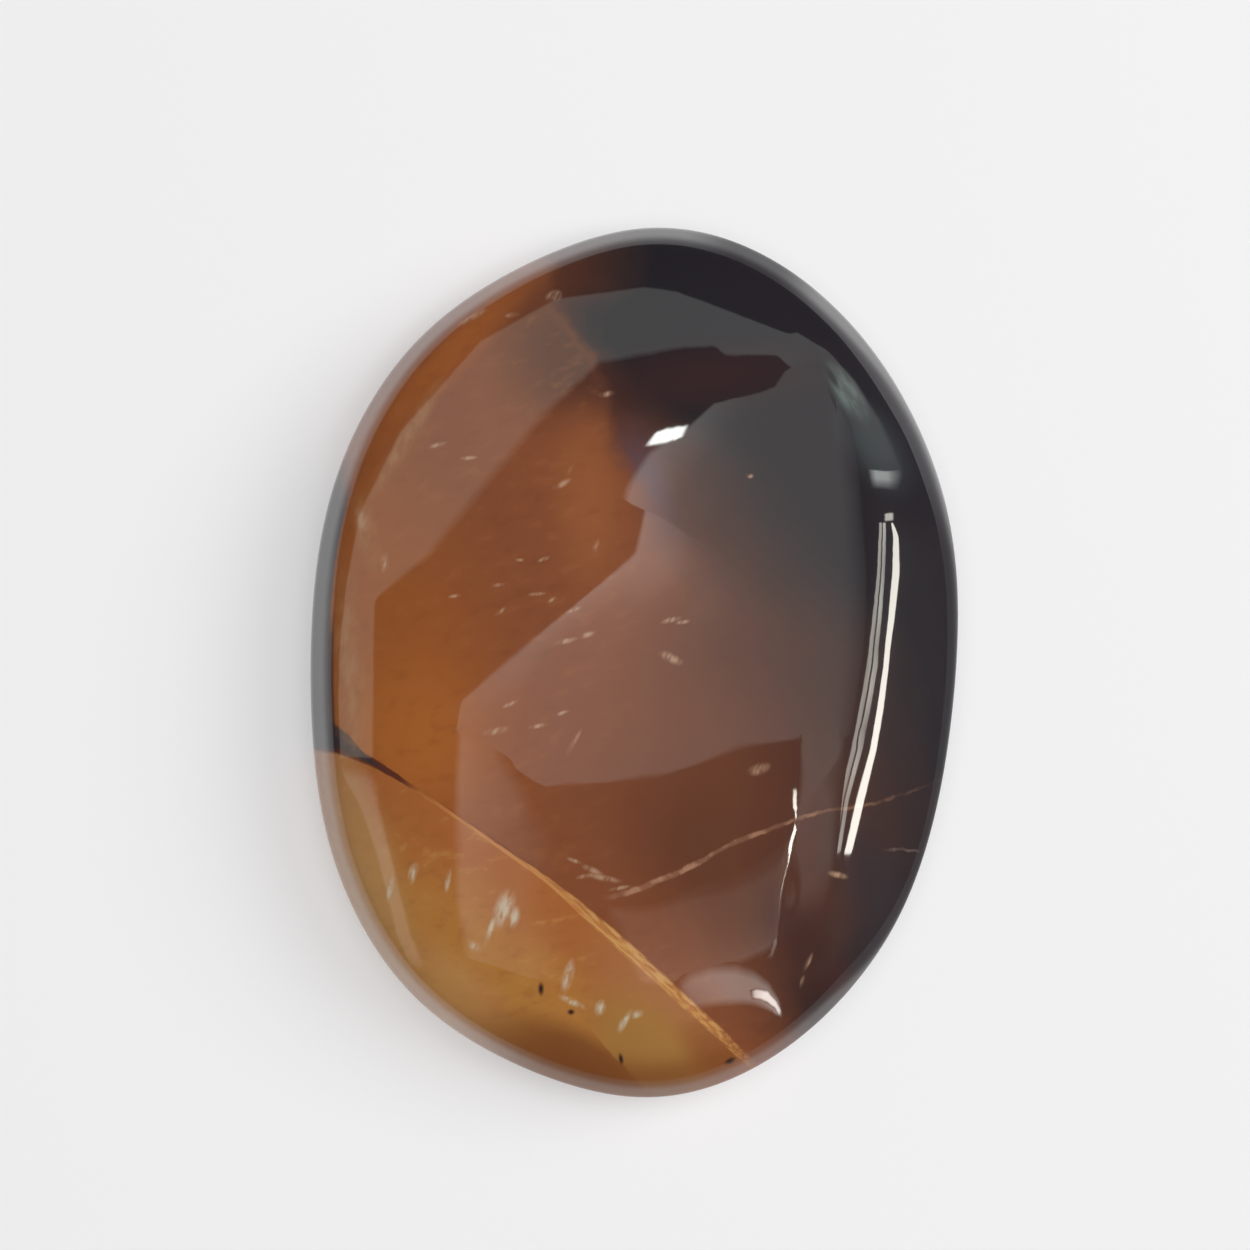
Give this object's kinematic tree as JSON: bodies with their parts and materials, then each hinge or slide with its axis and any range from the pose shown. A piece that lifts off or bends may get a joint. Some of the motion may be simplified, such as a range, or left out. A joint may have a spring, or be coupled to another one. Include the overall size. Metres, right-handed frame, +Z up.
{
  "type": "polished tiger's eye stone",
  "caption": "Oval polished tiger's eye with a low dome, a bevel ground along one side and a flat back to rest on.",
  "frame": {"origin": "middle of the stone's box at the bottom, on the surface that the flat back rests on", "axes": "+Y along the oval's long axis, +X across it towards the bevelled side, +Z up through the dome"},
  "size_m": [0.03, 0.0402, 0.008],
  "materials": {
    "stone": "polished"
  },
  "bodies": {
    "root": {"stone": "stone"}
  },
  "joints": []
}
